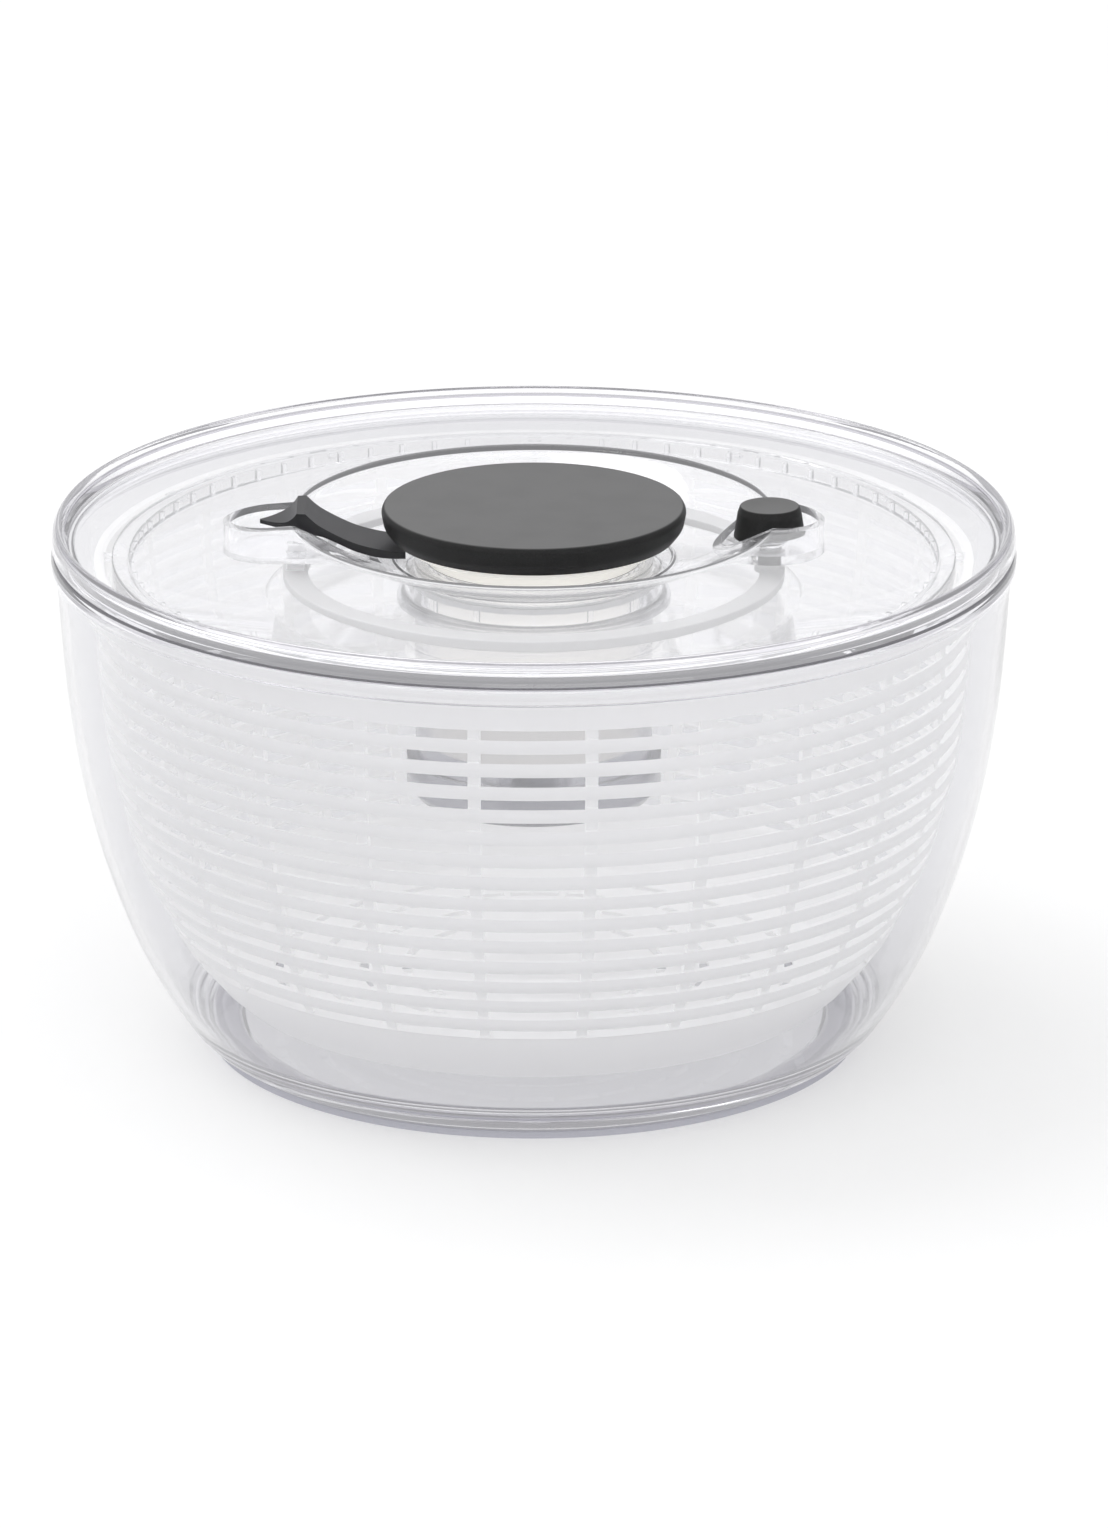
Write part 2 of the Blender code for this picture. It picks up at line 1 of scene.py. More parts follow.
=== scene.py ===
# %% [markdown]
# # A pump salad spinner
# The spinner is a set of thin clear and milky plastic shells, one inside the other. Clear plastic has no
# colour of its own: it is drawn by its edges, by what it bends and by what it mirrors. So most of the work
# here is in true wall thicknesses, rounded rims and a light that leaves dark edges on a white ground, with
# painted shade lines added along the rims and the foot.
#
# The imported model comes first. It fixes where every piece is and how it moves.

# %% Load the frame
import math

import bmesh
import bpy
from mathutils import Matrix, Vector


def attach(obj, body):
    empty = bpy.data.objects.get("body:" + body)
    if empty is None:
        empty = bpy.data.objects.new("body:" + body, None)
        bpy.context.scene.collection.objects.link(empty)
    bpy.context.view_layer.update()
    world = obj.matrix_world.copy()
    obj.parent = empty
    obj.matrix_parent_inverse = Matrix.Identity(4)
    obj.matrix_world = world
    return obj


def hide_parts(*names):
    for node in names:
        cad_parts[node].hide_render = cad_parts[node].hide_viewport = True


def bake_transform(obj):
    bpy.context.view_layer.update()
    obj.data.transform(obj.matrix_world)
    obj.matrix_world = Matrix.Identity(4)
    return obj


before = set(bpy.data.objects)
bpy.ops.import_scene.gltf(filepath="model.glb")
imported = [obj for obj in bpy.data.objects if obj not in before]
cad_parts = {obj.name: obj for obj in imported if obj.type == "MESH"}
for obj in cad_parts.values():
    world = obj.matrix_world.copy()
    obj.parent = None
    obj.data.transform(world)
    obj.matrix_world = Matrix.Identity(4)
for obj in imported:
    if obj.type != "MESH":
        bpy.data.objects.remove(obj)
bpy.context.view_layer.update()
MM = 0.001
print("pieces in the frame:", len(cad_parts))

# %% [markdown]
# ## Camera
# A long lens from a little above keeps the rim's ellipse flat and its sides nearly parallel. It is set
# first, so that every later choice can be judged through it.

# %% Camera
CAMERA_DISTANCE, CAMERA_HEIGHT, CAMERA_SIDE = 2.4974, 0.9080, 0.0056
CAMERA_TILT = math.radians(18.395)
CAMERA_LENS = 221.6

camera_data = bpy.data.cameras.new("camera")
camera_data.lens = CAMERA_LENS
camera_data.sensor_width = 36.0
camera_data.clip_end = 50.0
camera = bpy.data.objects.new("camera", camera_data)
camera.location = (CAMERA_SIDE, -CAMERA_DISTANCE, CAMERA_HEIGHT)
camera.rotation_euler = (math.pi / 2 - CAMERA_TILT, 0, 0)
bpy.context.scene.collection.objects.link(camera)
bpy.context.scene.camera = camera

# %% [markdown]
# ## A small language for nodes
# Materials and shapes are both node trees. `Board` adds a node in one call, and `Wire` lets plain Python
# sums stand for Math nodes, so a pattern reads as the formula that it is.


# %% Wires and boards
class Wire:
    """A node's output, which Python can add, subtract, multiply and divide."""

    def __init__(self, board, socket):
        self.board, self.socket = board, socket

    def maths(self, operation, first, second=0.0):
        return self.board.node("ShaderNodeMath", {"operation": operation}, {0: first, 1: second})

    def __add__(self, other):
        return self.maths("ADD", self, other)

    def __sub__(self, other):
        return self.maths("SUBTRACT", self, other)

    def __rsub__(self, other):
        return self.maths("SUBTRACT", other, self)

    def __mul__(self, other):
        return self.maths("MULTIPLY", self, other)

    def __truediv__(self, other):
        return self.maths("DIVIDE", self, other)

    def below(self, other):
        return self.maths("LESS_THAN", self, other)

    def above(self, other):
        return self.maths("GREATER_THAN", self, other)

    def fraction(self):
        return self.maths("FRACT", self)

    __radd__ = __add__
    __rmul__ = __mul__


class Board:
    """Lays out the nodes of one tree."""

    def __init__(self, tree):
        self.tree = tree

    def node(self, kind, settings=None, sockets=None, output=0):
        made = self.tree.nodes.new(kind)
        for name, value in (settings or {}).items():
            if name == "stops":
                self.set_stops(made.color_ramp, value)
            else:
                setattr(made, name, value)
        for name, value in (sockets or {}).items():
            self.plug(made.inputs[name], value)
        return Wire(self, made.outputs[output])

    def plug(self, socket, value):
        if isinstance(value, Wire):
            self.tree.links.new(value.socket, socket)
        else:
            socket.default_value = value

    def parts(self, vector):
        """The three parts of a vector."""
        split = self.node("ShaderNodeSeparateXYZ", {}, {0: vector}).socket.node
        return [Wire(self, socket) for socket in split.outputs]

    @staticmethod
    def set_stops(ramp, stops):
        while len(ramp.elements) < len(stops):
            ramp.elements.new(1.0)
        for element, (place, colour) in zip(ramp.elements, stops):
            element.position = place
            element.color = (*colour, 1.0)


class Finish(Board):
    """One material, with Object coordinates ready for its patterns."""

    def __init__(self, name):
        self.material = bpy.data.materials.new(name)
        self.material.use_nodes = True
        super().__init__(self.material.node_tree)
        self.tree.nodes.clear()
        self.place = self.node("ShaderNodeTexCoord", output="Object")

    def axis(self, index):
        return self.node("ShaderNodeSeparateXYZ", {}, {0: self.place}, output=index)

    def noise(self, scale, detail=3.0, roughness=0.5, stretch=(1, 1, 1)):
        place = self.node("ShaderNodeMapping", {}, {"Vector": self.place, "Scale": stretch})
        return self.node("ShaderNodeTexNoise", {}, {"Vector": place, "Scale": scale, "Detail": detail,
                                                    "Roughness": roughness})

    def bump(self, height, depth, strength=1.0):
        return self.node("ShaderNodeBump", {}, {"Height": height, "Distance": depth, "Strength": strength})

    def blend(self, share, first, second):
        return self.node("ShaderNodeMix", {"data_type": "RGBA"},
                         {0: share, 6: (*first, 1.0), 7: (*second, 1.0)}, output=2)

    def surface(self, **values):
        sockets = {name.replace("_", " "): value for name, value in values.items()}
        return self.node("ShaderNodeBsdfPrincipled", {}, sockets)

    def done(self, shader):
        self.plug(self.tree.nodes.new("ShaderNodeOutputMaterial").inputs["Surface"], shader)
        return self.material


# %% [markdown]
# ## Finishes
# ** Clear plastic** is a glass shader with the index of the real polymer. A mould leaves slow waves in it,
# far too shallow to see except in what they mirror, so the bump is wide and weak. Lamps pass straight
# through it by the usual light-path trick, which keeps the shadow on the floor soft and pale. A faint painted
# glow stands in for the light that the real plastic scatters, with more of it where the plastic is thick, and
# narrow bands of painted shade, a darker colour, lie along the moulded edges and the lid's seam, where the
# real plastic shows dark lines by refraction.

# %% Clear plastic
PLASTIC_INDEX = 1.50
# Painted glow: emission that stands in for the light the plastic scatters, stronger where it is thick.
FAINT_GLOW, THICK_GLOW = (0.26, 0.26, 0.27), (0.54, 0.535, 0.56)
# Painted shade: the colour of the dark lines painted along the moulded edges and the lid's join.
EDGE_PAINTED_SHADE = (0.36, 0.35, 0.39)


def clear_plastic(name, tint, wave_depth=0.00012, haze=0.01, thick=None, edges=None, shade=0.975):
    finish = Finish(name)
    # Painted shade lines are blended into the base colour here; the emission below is a painted glow.
    colour = finish.blend(edges(finish), tint, EDGE_PAINTED_SHADE) if edges else (*tint, 1.0)
    glow = finish.blend(thick(finish), FAINT_GLOW, THICK_GLOW) if thick else (*FAINT_GLOW, 1.0)
    waves = finish.noise(14.0, 1.0)
    scuffs = finish.noise(420.0, 4.0, 0.6)
    glass = finish.surface(
        Base_Color=colour, IOR=PLASTIC_INDEX, Transmission_Weight=1.0,
        Roughness=haze + scuffs * haze, Normal=finish.bump(waves, wave_depth),
        Emission_Color=glow, Emission_Strength=0.1)
    window = finish.node("ShaderNodeBsdfTransparent", {}, {"Color": (shade, shade, shade, 1.0)})
    lamp_ray = finish.node("ShaderNodeLightPath", output="Is Shadow Ray")
    return finish.done(finish.node("ShaderNodeMixShader", {}, {0: lamp_ray, 1: glass, 2: window}))


BOWL_BEAD_BOTTOM, BOWL_FOOT_TOP, LID_RING_INSIDE = 136.6, 9.5, 129.0


def bowl_ends(finish):
    """Where the painted glow is stronger: the bead at the lip and the stepped foot."""
    level = finish.axis(2)
    return level.above(BOWL_BEAD_BOTTOM * MM) + level.below(BOWL_FOOT_TOP * MM)


def bands(level, *spans):
    """One where the value lies in any of the spans, given in millimetres."""
    marks = [level.above(low * MM) * level.below(high * MM) for low, high in spans]
    return sum(marks[1:], marks[0])


def bowl_painted_shade_lines(finish):
    """Painted shade lines on the ledges of the foot and on the lower and upper edges of the bead."""
    return bands(finish.axis(2), (2.4, 2.75), (4.25, 4.6), (6.95, 7.3), (9.2, 9.5), (137.4, 137.8),
                 (141.9, 142.25))


def from_centre(finish):
    across = finish.axis(0) * finish.axis(0) + finish.axis(1) * finish.axis(1)
    return across.maths("SQRT", across)


def lid_painted_shade_lines(finish):
    """Painted shade lines at the join under the lid's ring and in the groove on the ring's inner side."""
    reach, level = from_centre(finish), finish.axis(2)
    # Painted shade: a dark line along the join between lid and bowl, and one in the groove.
    seam = reach.above(LID_RING_INSIDE * MM) * bands(level, (142.4, 142.9))
    return seam + bands(reach, (129.7, 130.3)) * bands(level, (146.9, 147.9))


def lid_ring(finish):
    """Where the painted glow is stronger: the thick ring round the lid."""
    return from_centre(finish).above(LID_RING_INSIDE * MM)


bowl_clear = clear_plastic("bowl_clear", (0.79, 0.79, 0.803), thick=bowl_ends, edges=bowl_painted_shade_lines)
lid_clear = clear_plastic("lid_clear", (0.982, 0.982, 0.988), 0.00004, thick=lid_ring, edges=lid_painted_shade_lines,
                          shade=0.95)
drum_clear = clear_plastic("drum_clear", (0.78, 0.78, 0.80), 0.0001, 0.12)
print("clear finishes:", bowl_clear.name, lid_clear.name, drum_clear.name)

# %% [markdown]
# ** Milky plastic** is the basket's polypropylene: white, waxy and a little see-through, so light sinks in
# and comes out softened. A small share of rough transmission and a painted glow stand in for that without a
# slow volume. The plunger's strong glow is painted light that lifts it out of the shade under the knob.


# %% Milky plastic
# The glow is painted light, a white emission.
def milky_plastic(name, colour, roughness=0.34, through=0.25, glow=0.23):
    finish = Finish(name)
    cloud = finish.noise(60.0, 2.0)
    grain = finish.noise(1800.0, 2.0)
    shade = tuple(part * 0.96 for part in colour)
    return finish.done(finish.surface(
        Base_Color=finish.blend(cloud, shade, colour), Roughness=roughness - 0.06 + cloud * 0.12,
        IOR=1.49, Transmission_Weight=through, Emission_Color=(1.0, 0.995, 0.98, 1.0), Emission_Strength=glow,
        Normal=finish.bump(grain, 0.00002)))


basket_white = milky_plastic("basket_white", (0.80, 0.80, 0.805))
fitting_white = milky_plastic("fitting_white", (0.84, 0.84, 0.845), 0.38, 0.35, 0.02)
# Painted light: a strong glow that brightens the plunger in the shade under the knob.
plunger_white = milky_plastic("plunger_white", (0.95, 0.93, 0.87), 0.30, 0.05, 0.30)

# %% [markdown]
# ** Soft black** covers the knob and the button. The touch coat is a fine pebble, a few tenths of a
# millimetre across, given as a bump; the grey sheen of the overhead light on their tops is painted into the
# colour as a brighter top, a painted sheen, and the grey foot ring gets a painted brighter top too. The latch
# is the same black plastic without the coat, so it is smoother and shows streaks of light along its length.


# %% Blacks, rubber and steel
def soft_black(name, colour, roughness, grain_depth, top=0.0):
    finish = Finish(name)
    grain = finish.noise(2600.0, 2.0, 0.6)
    patches = finish.noise(90.0, 2.0)
    # Painted sheen: when top is above zero, faces that point up are painted brighter; with top at zero the
    # brighter colour is only random mottle.
    mottle_and_painted_sheen = tuple(part * 1.5 + top for part in colour)
    facing_up = finish.parts(finish.node("ShaderNodeNewGeometry", output="Normal"))[2]
    painted_sheen_mask = facing_up.maths("POWER", facing_up.maths("MAXIMUM", facing_up, 0.0), 6.0)
    share = painted_sheen_mask * (0.75 + patches * 0.3) + grain * 0.15 if top else grain * 0.6 + patches * 0.3
    return finish.done(finish.surface(
        Base_Color=finish.blend(share, colour, mottle_and_painted_sheen),
        Roughness=roughness + patches * 0.08, Specular_IOR_Level=0.28,
        Normal=finish.bump(grain, grain_depth)))


def drawn_steel(name):
    finish = Finish(name)
    lines = finish.noise(500.0, 3.0, 0.6, (1, 1, 0.08))
    return finish.done(finish.surface(
        Base_Color=finish.blend(lines, (0.52, 0.52, 0.54), (0.68, 0.68, 0.70)), Metallic=1.0,
        Roughness=0.22 + lines * 0.16, Normal=finish.bump(lines, 0.00001)))


# The last number paints a brighter top, a painted sheen, on the knob and button and on the grey foot ring.
knob_black = soft_black("knob_black", (0.005, 0.005, 0.005), 0.50, 0.00005, 0.145)
latch_black = soft_black("latch_black", (0.022, 0.022, 0.024), 0.30, 0.00001)
foot_grey = soft_black("foot_grey", (0.50, 0.50, 0.55), 0.55, 0.00003, 0.18)
pad_grey = soft_black("pad_grey", (0.45, 0.45, 0.47), 0.6, 0.00003)
spring_steel = drawn_steel("spring_steel")

# %% [markdown]
# ## Turned shells
# Nearly every piece is round, so it is a profile spun about the axis. A profile is written as the few
# points that a maker would dimension, each with the radius of its rounded corner, and `rounded` puts in the
# arcs. A long curved wall is a smooth curve through its stations instead.

# %% Profiles
FINE_STEPS = 192


def rounded(points, arc_steps=6):
    """Closed outline of (radius, height, corner radius) in millimetres, with its corners as arcs."""
    outline = []
    count = len(points)
    for index, (x, z, corner) in enumerate(points):
        here = Vector((x, z))
        if corner <= 0:
            outline.append(here)
            continue
        before, after = Vector(points[index - 1][:2]) - here, Vector(points[(index + 1) % count][:2]) - here
        half_angle = before.angle(after) / 2
        reach = min(corner / math.tan(half_angle), before.length * 0.49, after.length * 0.49)
        radius = reach * math.tan(half_angle)
        inward = (before.normalized() + after.normalized()).normalized()
        centre = here + inward * (radius / math.sin(half_angle))
        start, end = here + before.normalized() * reach - centre, here + after.normalized() * reach - centre
        sweep = start.angle_signed(end)
        for step in range(arc_steps + 1):
            turn = -sweep * step / arc_steps
            outline.append(centre + Matrix.Rotation(turn, 2) @ start)
    return outline


def smooth_through(stations, steps=6):
    """Smooth curve through the stations, as points in millimetres."""
    points = [Vector(station[:2]) for station in stations]
    curve = []
    for index in range(len(points) - 1):
        before, start = points[max(index - 1, 0)], points[index]
        end, after = points[index + 1], points[min(index + 2, len(points) - 1)]
        for step in range(steps):
            t = step / steps
            bend = 2 * before - 5 * start + 4 * end - after
            twist = 3 * start - before - 3 * end + after
            curve.append(0.5 * (2 * start + (end - before) * t + bend * t ** 2 + twist * t ** 3))
    return curve + [points[-1]]


def moved_in(curve, wall):
    """The same curve, one wall thickness nearer the axis."""
    inner = []
    for index, point in enumerate(curve):
        along = curve[min(index + 1, len(curve) - 1)] - curve[max(index - 1, 0)]
        inner.append(point + Vector((along.y, -along.x)).normalized() * wall)
    return inner


def link_mesh(name, shape, finish, sharp=40):
    """A finished mesh object, smooth but for its sharp corners."""
    mesh = bpy.data.meshes.new(name)
    shape.normal_update()
    shape.to_mesh(mesh)
    shape.free()
    mesh.materials.append(finish)
    mesh.shade_smooth()
    mesh.set_sharp_from_angle(angle=math.radians(sharp))
    piece = bpy.data.objects.new(name, mesh)
    bpy.context.scene.collection.objects.link(piece)
    return piece


def spun(outline, steps=FINE_STEPS, centre=(0, 0)):
    """Spin a closed outline, in millimetres, into a closed shell."""
    shape = bmesh.new()
    points = [shape.verts.new((max(x, 0) * MM, 0, z * MM)) for x, z in outline]
    edges = []
    for index, point in enumerate(points):
        after = points[(index + 1) % len(points)]
        if point.co.x > 0 or after.co.x > 0:
            edges.append(shape.edges.new((point, after)))
    bmesh.ops.spin(shape, geom=points + edges, cent=(0, 0, 0), axis=(0, 0, 1), angle=math.tau, steps=steps,
                   use_merge=True)
    bmesh.ops.remove_doubles(shape, verts=shape.verts, dist=0.000002)
    bmesh.ops.recalc_face_normals(shape, faces=shape.faces)
    bmesh.ops.translate(shape, verts=shape.verts, vec=(centre[0], centre[1], 0))
    return shape


def turned(name, outline, finish, body, nodes, steps=FINE_STEPS, centre=(0, 0)):
    """A turned piece that rides on its body and stands for its part in the frame."""
    piece = link_mesh(name, spun(outline, steps, centre), finish)
    return placed(piece, body, nodes)


def placed(piece, body, nodes):
    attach(piece, body)
    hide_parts(*nodes)
    print(piece.name, len(piece.data.polygons), "faces")
    return piece


# %% [markdown]
# ## Bowl
# The bowl is one clear shell of even wall. Its foot is stepped, so that light makes the stack of fine grey
# lines there, deepened by painted shade lines on its ledges, and its lip is a rounded bead that the lid rests
# on, with painted shade lines along the bead's edges. The wall is a curve through eight stations and the
# inside is that curve moved in by the wall's thickness. A pin set in the middle of the floor carries the
# basket.

# %% Bowl
BOWL_WALL = 2.6
bowl_wall = smooth_through([(132.6, 136.4), (131.2, 115), (129.2, 95), (125.8, 75), (120.7, 55),
                            (113.6, 35), (106.3, 20), (99.6, 9.4)])
bowl_lip = rounded([(130.3, 142.2, 0.8), (133.4, 142.2, 0.9), (134.0, 140.6, 1.4), (134.0, 138.2, 0.8),
                    (132.7, 137.3, 0.5), (132.6, 136.4, 0), (129.9, 136.4, 0)])[:-2]
bowl_foot = rounded([(99.6, 9.4, 0), (98.4, 7.7, 0.5), (97.2, 7.0, 0.3), (96.9, 6.3, 0.3), (95.4, 4.6, 0.5),
                     (94.2, 4.3, 0.3), (93.9, 3.6, 0.3), (92.4, 2.45, 0.5), (83.0, 2.45, 0.3),
                     (82.0, 3.2, 0.3), (0, 3.2, 0), (0, 4.8, 0)])[1:-1]
bowl_floor = rounded([(0, 3.2, 0), (0, 4.8, 0), (4.6, 4.8, 0.2), (4.6, 6.2, 0.3), (84.0, 6.2, 6.0),
                      (92.6, 7.6, 8.0), (97.2, 11.6, 0)])[1:-1]
bowl_outline = (bowl_lip + bowl_wall[1:] + bowl_foot + bowl_floor
                + list(reversed(moved_in(bowl_wall, BOWL_WALL)))[1:])
turned("bowl_shell", bowl_outline, bowl_clear, "bowl", ["bowl"])

pin_outline = rounded([(0, 18.2, 0), (2.4, 18.2, 0.6), (3.5, 17.0, 0.5), (4.2, 8.4, 1.5), (8.0, 6.5, 0.2),
                       (4.3, 6.5, 0.3), (4.3, 5.1, 0.3), (0, 5.1, 0)])
turned("centre_pin", pin_outline, bowl_clear, "bowl", ["basket_pivot"], 64)
foot_outline = rounded([(84.0, 2.1, 0.3), (91.5, 2.1, 0.3), (91.7, 0.0, 0.5), (84.0, 0.0, 0.5)])
turned("non_slip_ring", foot_outline, foot_grey, "bowl", ["foot_ring"])

# %% [markdown]
# ## Shapes grown by nodes
# What repeats is made by Geometry Nodes: the basket's slots, the fine teeth, the ribs of the sleeve and the
# coils of the springs. `Recipe` holds one tree with its sizes as named inputs, and `grow` runs it and keeps
# the result as a plain mesh.


# %% Recipes
class Recipe(Board):
    """A Geometry Nodes tree with named sizes."""

    def __init__(self, name):
        super().__init__(bpy.data.node_groups.new(name, "GeometryNodeTree"))
        self.sizes = {}
        self.tree.interface.new_socket("Shape", in_out="INPUT", socket_type="NodeSocketGeometry")
        self.tree.interface.new_socket("Shape", in_out="OUTPUT", socket_type="NodeSocketGeometry")
        self.entry = self.tree.nodes.new("NodeGroupInput")
        self.shape = Wire(self, self.entry.outputs[0])

    def size(self, name, kind="Float"):
        made = self.tree.interface.new_socket(name, in_out="INPUT", socket_type="NodeSocket" + kind)
        self.sizes[name] = made.identifier
        return Wire(self, self.entry.outputs[name])

    def ends(self, shape, finish):
        whole = self.node("GeometryNodeRealizeInstances", {}, {"Geometry": shape})
        dressed = self.node("GeometryNodeSetMaterial", {}, {"Geometry": whole, "Material": finish})
        self.plug(self.tree.nodes.new("NodeGroupOutput").inputs[0], dressed)

    def grow(self, name, sizes, base=None, sharp=40, modifiers=()):
        holder = base or link_mesh(name + "_seed", bmesh.new(), bpy.data.materials[0])
        step = holder.modifiers.new(self.tree.name, "NODES")
        step.node_group = self.tree
        for label, value in sizes.items():
            step[self.sizes[label]] = value
        for kind, settings in modifiers:
            extra = holder.modifiers.new(kind.lower(), kind)
            for label, value in settings.items():
                setattr(extra, label, value)
        bpy.context.view_layer.update()
        evaluated = holder.evaluated_get(bpy.context.evaluated_depsgraph_get())
        mesh = bpy.data.meshes.new_from_object(evaluated)
        bpy.data.objects.remove(holder)
        mesh.name = name
        mesh.shade_smooth()
        mesh.set_sharp_from_angle(angle=math.radians(sharp))
        piece = bpy.data.objects.new(name, mesh)
        bpy.context.scene.collection.objects.link(piece)
        return piece


# %% [markdown]
# Blocks set in a ring come up three times: the fine teeth inside the inner lid's rim, the tabs that turn
# the basket, and the ribs on the sleeve. A circle of points carries one cube each, turned to face outwards.

# %% Ring of blocks
block_ring = Recipe("ring_of_blocks")
block_count, ring_radius = block_ring.size("Count", "Int"), block_ring.size("Ring radius")
block_size, ring_level = block_ring.size("Block size", "Vector"), block_ring.size("Level", "Vector")
block_finish = block_ring.size("Finish", "Material")
points = block_ring.node("GeometryNodeMeshCircle", {}, {"Vertices": block_count, "Radius": ring_radius})
point_x, point_y, _ = block_ring.parts(block_ring.node("GeometryNodeInputPosition"))
bearing = point_y.maths("ARCTAN2", point_y, point_x)
facing = block_ring.node("ShaderNodeCombineXYZ", {}, {"Z": bearing})
block = block_ring.node("GeometryNodeMeshCube", {}, {"Size": block_size})
blocks = block_ring.node("GeometryNodeInstanceOnPoints", {},
                         {"Points": points, "Instance": block, "Rotation": facing})
raised_blocks = block_ring.node("GeometryNodeTransform", {}, {"Geometry": blocks, "Translation": ring_level})
block_ring.ends(raised_blocks, block_finish)


def ring_of_blocks(name, count, radius, size, level, finish):
    return block_ring.grow(name, {"Count": count, "Ring radius": radius * MM,
                                  "Block size": [part * MM for part in size],
                                  "Level": (0.0, 0.0, level * MM), "Finish": finish})


# %% [markdown]
# ## Basket
# The basket is a moulded colander: hoops on upright ribs, with a plain band and a floor below. It starts as
# a plain bowl-shaped skin whose rows and columns already fall on the edges of the slots. The nodes then
# open each slot, stand each hoop a little proud of the ribs and round it, and Solidify gives the wall its
# thickness.

# %% Basket skin
RIBS = 24
RIB_SHARE = 0.052
SLOT_COUNT = 15
SLOT_PITCH = 6.53
SLOT_TOP_EDGE = 127.15
SLOT_TALL = 2.7
FLOOR_SLOTS = (72.0, 60.0, 48.0, 36.0)
HOOP_ROWS = 4
RIB_STEP = 0.25
GAP_COLUMNS = 6
BASKET_WALL = 1.9
BASKET_FLOOR = 16.3
FLOOR_EDGE = (90.6, 20.8)
FLOOR_MARGIN, DRAIN_REACH = 0.5, 75.0
HOOP_LEDGE, HOOP_SWELL = 0.6, 0.5

basket_side = smooth_through([(120.4, 134.6), (120.35, 122), (120.2, 110.5), (118.1, 86.8), (115.1, 73.5),
                              (110.8, 57.4), (105.7, 46.1), (98.0, 30.3), (93.6, 24.6), FLOOR_EDGE], 8)


def side_radius(height):
    for above, below in zip(basket_side, basket_side[1:]):
        if below.y <= height <= above.y:
            return below.x + (above.x - below.x) * (height - below.y) / (above.y - below.y)
    return basket_side[-1].x


def basket_rows():
    """Radius and height of each row of the skin, from the rim to the middle of the floor."""
    heights = [134.6, 131.0]
    for slot in range(SLOT_COUNT):
        top = SLOT_TOP_EDGE - slot * SLOT_PITCH
        heights += [top, top - RIB_STEP, top - SLOT_TALL + RIB_STEP, top - SLOT_TALL]
        hoop = SLOT_PITCH - SLOT_TALL
        heights += [top - SLOT_TALL - hoop * step / HOOP_ROWS for step in range(1, HOOP_ROWS)]
    heights += [32.0, 30.6, 28.0, 25.0, 22.6, 20.8]
    side = [(side_radius(height), height) for height in heights]
    rim = [(121.9, 137.4), (122.0, 136.6), (121.6, 135.8), (120.6, 135.4)]
    drains = [(middle + half, BASKET_FLOOR, 0) for middle in FLOOR_SLOTS
              for half in (SLOT_TALL / 2, -SLOT_TALL / 2)]
    floor = rounded([(*FLOOR_EDGE, 0), (85.6, BASKET_FLOOR, 3.5)] + drains
                    + [(16.0, BASKET_FLOOR, 3.0), (5.2, 18.9, 1.5), (0, 18.9, 0), (0, 40, 0)])[1:-2]
    return rim + side + [(point.x, point.y) for point in floor]


def basket_skin():
    shape = bmesh.new()
    step = math.tau / RIBS
    angles = []
    for rib in range(RIBS):
        centre = -math.pi / 2 + step / 2 + rib * step
        start, end = centre - step * RIB_SHARE, centre + step * RIB_SHARE
        gap = step * (1 - 2 * RIB_SHARE)
        angles += [start] + [end + gap * part / GAP_COLUMNS for part in range(GAP_COLUMNS)]
    loops = [[shape.verts.new((x * MM * math.cos(turn), x * MM * math.sin(turn), z * MM)) for turn in angles]
             for x, z in basket_rows()]
    for upper, lower in zip(loops, loops[1:]):
        for column in range(len(angles)):
            after = (column + 1) % len(angles)
            shape.faces.new((upper[column], lower[column], lower[after], upper[after]))
    tip = shape.verts.new((0, 0, basket_rows()[-1][1] * MM))
    for column in range(len(angles)):
        shape.faces.new((loops[-1][column], tip, loops[-1][(column + 1) % len(angles)]))
    return link_mesh("basket_skin", shape, basket_white)


# %% Basket nodes
slots = Recipe("open_slots")
rib_count, rib_share = slots.size("Rib count"), slots.size("Rib share")
pitch, slot_tall, top_edge = slots.size("Pitch"), slots.size("Slot height"), slots.size("Top edge")
rows, swell = slots.size("Rows"), slots.size("Swell")
ledge = slots.size("Ledge")
drain_start, drain_pitch = slots.size("First drain"), slots.size("Drain pitch")
spot_x, spot_y, spot_z = slots.parts(slots.node("GeometryNodeInputPosition"))
along = spot_y.maths("ARCTAN2", spot_y, spot_x)
drop = (top_edge - spot_z) / pitch
in_rows = drop.above(-0.001) * drop.below(rows - (1 - slot_tall / pitch) + 0.001)
phase = (drop + 0.0001).fraction()
turn_phase = ((along + math.tau + math.pi / 2) * rib_count / math.tau - 0.5).fraction()
in_gap = turn_phase.above(rib_share) * turn_phase.below(1 - rib_share)
from_axis = spot_x * spot_x + spot_y * spot_y
from_axis = from_axis.maths("SQRT", from_axis)
ring_phase = ((from_axis - drain_start + slot_tall / 2) / drain_pitch).fraction()
under_floor_level = spot_z.below((BASKET_FLOOR + FLOOR_MARGIN) * MM)
in_floor = under_floor_level * from_axis.above(drain_start - slot_tall) * from_axis.below(DRAIN_REACH * MM)
is_drain = in_floor * ring_phase.below(slot_tall / drain_pitch)
is_slot = in_gap * (in_rows * phase.below(slot_tall / pitch) + is_drain)
opened = slots.node("GeometryNodeDeleteGeometry", {"domain": "FACE"},
                    {"Geometry": slots.shape, "Selection": is_slot})
hoop_phase = (phase - slot_tall / pitch) / (1 - slot_tall / pitch)
hoop_arch = 4 * hoop_phase * (1 - hoop_phase)
in_rib = phase.above(0.01) * phase.below(slot_tall / pitch - 0.01)
rise = in_rows * (1 - in_rib) * (ledge + swell * hoop_arch.maths("MAXIMUM", hoop_arch, 0.0))
outward = slots.node("ShaderNodeVectorMath", {"operation": "SCALE"},
                     {0: slots.node("GeometryNodeInputNormal"), "Scale": rise})
